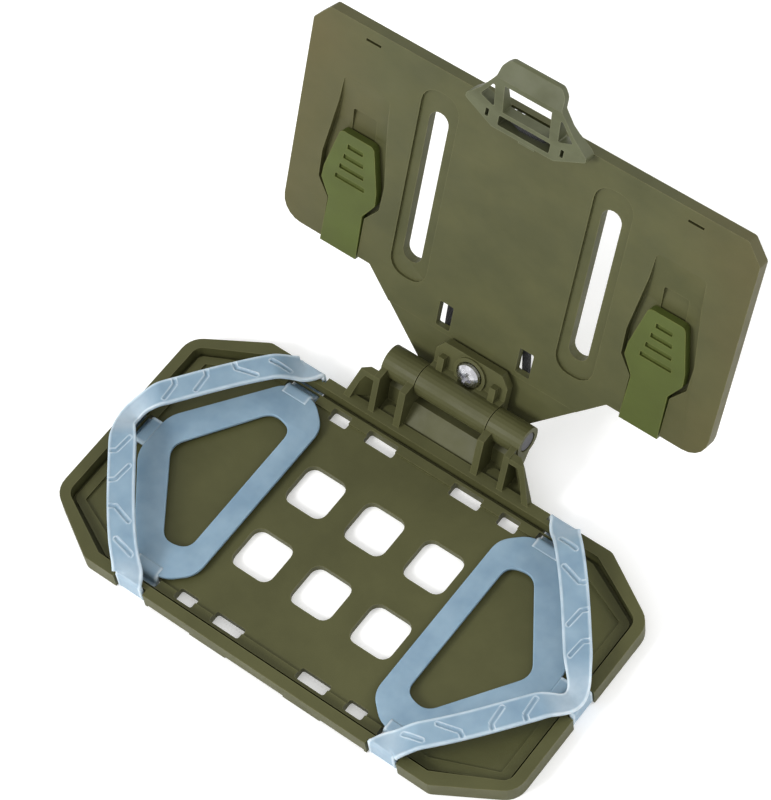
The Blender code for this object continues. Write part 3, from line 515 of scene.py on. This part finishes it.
def band_piece(name, look, fill):
    """A piece of silicone that rides on the tray; fill(shape) makes its faces."""
    shape = bmesh.new()
    fill(shape)
    bmesh.ops.recalc_face_normals(shape, faces=shape.faces)
    mesh = bpy.data.meshes.new(name)
    shape.to_mesh(mesh)
    shape.free()
    mesh.shade_smooth()
    mesh.materials.append(look)
    made = bpy.data.objects.new(name, mesh)
    bpy.context.scene.collection.objects.link(made)
    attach(made, "tray")
    return made


def build_band(word, side):
    """One band: three wraps round the rim, two arched arms over the phone's corners, and the web."""
    across = Vector((1, 0, 0))
    front = wrap_stations(Vector((side * WRAP_X, FRONT_EDGE / MM, 0)), Vector((0, 1, 0)), across)
    back = wrap_stations(Vector((side * WRAP_X, BACK_EDGE / MM, 0)), Vector((0, -1, 0)), across)
    arms, places = arm_stations(side)
    stations = front + arms + back[::-1]
    lines = groove_lines(max(places))
    rows = [OFF_ARM] * len(front) + places + [OFF_ARM] * len(back)

    def relief(row, place):
        run = rows[row]
        if run == OFF_ARM or abs(place) > ARM_WIDTH / 2 - 0.7:
            return 0.0
        return groove_depth(run, place * side, lines)

    def stretch(row):
        run = rows[row]
        if run == OFF_ARM:
            return 0.1
        return 0.35 * smooth(1 - abs(run - 2.0) / 8.0) + 0.5 * smooth((run - max(places) + 13.0) / 11.0)

    def fill_arms(shape):
        ribbon(shape, stations, relief, stretch)

    def fill_tab(shape):
        edge = Vector((side * HALF_LENGTH / MM, MID_Y / MM, 0))
        inward = Vector((-side, 0, 0))
        along_rim = Vector((0, side, 0))
        low = wrap_stations(edge, inward, along_rim)
        top = [(low[-1][0] + inward * a + Vector((0, 0, z)), along_rim, WRAP_WIDTH - shrink)
               for a, z, shrink in ((0.1, 0.4, 0.1), (0.4, 0.8, 0.2), (1.0, 1.1, 0.5), (2.0, 1.25, 1.2),
                                    (3.2, 1.3, 2.2), (4.6, 1.3, 3.2))]
        ribbon(shape, low + top, lambda row, place: 0.0, lambda row: 0.3 * smooth((row - len(low) + 6) / 10))

    arms_piece = band_piece("band_{}_arms".format(word), SILICONE, fill_arms)
    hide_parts("band_" + word)
    band_piece("band_{}_tab".format(word), SILICONE, fill_tab)
    band_piece("band_{}_web".format(word), SILICONE, lambda shape: web_sheet(shape, side))


build_band("left", -1)
build_band("right", 1)


# ---- stage, light and camera ---------------------------------------------------------------

def build_stage():
    """A white floor just under the mount."""
    floor = bpy.data.meshes.new("floor")
    shape = bmesh.new()
    bmesh.ops.create_grid(shape, x_segments=1, y_segments=1, size=6.0)
    shape.to_mesh(floor)
    shape.free()
    look = Shader("floor")
    paper = look.mix(look.noise(3.0), (0.95, 0.95, 0.95, 1), (0.97, 0.97, 0.97, 1))
    look.set(Base_Color=paper, Roughness=0.9)
    look.set(Emission_Color=(1.0, 1.0, 1.0, 1.0), Emission_Strength=0.22)
    floor.materials.append(look.material)
    ground = bpy.data.objects.new("floor", floor)
    bpy.context.scene.collection.objects.link(ground)
    ground.location.z = -0.2 * MM


def soft_light(name, place, target, size, power):
    """A round area light that faces its target."""
    lamp = bpy.data.lights.new(name, "AREA")
    lamp.shape = "DISK"
    lamp.size = size
    lamp.energy = power
    made = bpy.data.objects.new(name, lamp)
    bpy.context.scene.collection.objects.link(made)
    made.location = place
    made.rotation_mode = "QUATERNION"
    made.rotation_quaternion = (Vector(target) - Vector(place)).to_track_quat("-Z", "Y")


def build_lights():
    """An even white surround, a key light at the front left and a weak light from behind."""
    bpy.context.scene.view_settings.view_transform = "Standard"
    world = bpy.data.worlds.new("studio")
    bpy.context.scene.world = world
    world.use_nodes = True
    world.node_tree.nodes["Background"].inputs["Color"].default_value = (1.0, 1.0, 1.0, 1.0)
    world.node_tree.nodes["Background"].inputs["Strength"].default_value = 0.8
    middle = (0, 0, 0.05)
    soft_light("key", (-0.5, -1.1, 0.85), middle, 0.5, 12.5)
    soft_light("rim", (0.6, 0.7, 0.6), middle, 0.5, 3.0)


def build_camera():
    """A long lens about a metre away, looking down on the mount from where the photo was taken."""
    data = bpy.data.cameras.new("camera")
    data.sensor_width = 36.0
    data.lens = 145.4
    data.clip_start = 0.05
    data.clip_end = 30.0
    camera = bpy.data.objects.new("camera", data)
    bpy.context.scene.collection.objects.link(camera)
    right = Vector((0.7922, 0.6044, -0.0850)).normalized()
    back = Vector((0.3686, -0.3628, 0.8559)).normalized()
    up = back.cross(right).normalized()
    right = up.cross(back)
    turn = Matrix((right, up, back)).transposed().to_4x4()
    place = Vector((0.3661, -0.36506, 0.9140))
    camera.matrix_world = Matrix.Translation(place) @ turn
    bpy.context.scene.camera = camera


build_stage()
build_lights()
build_camera()
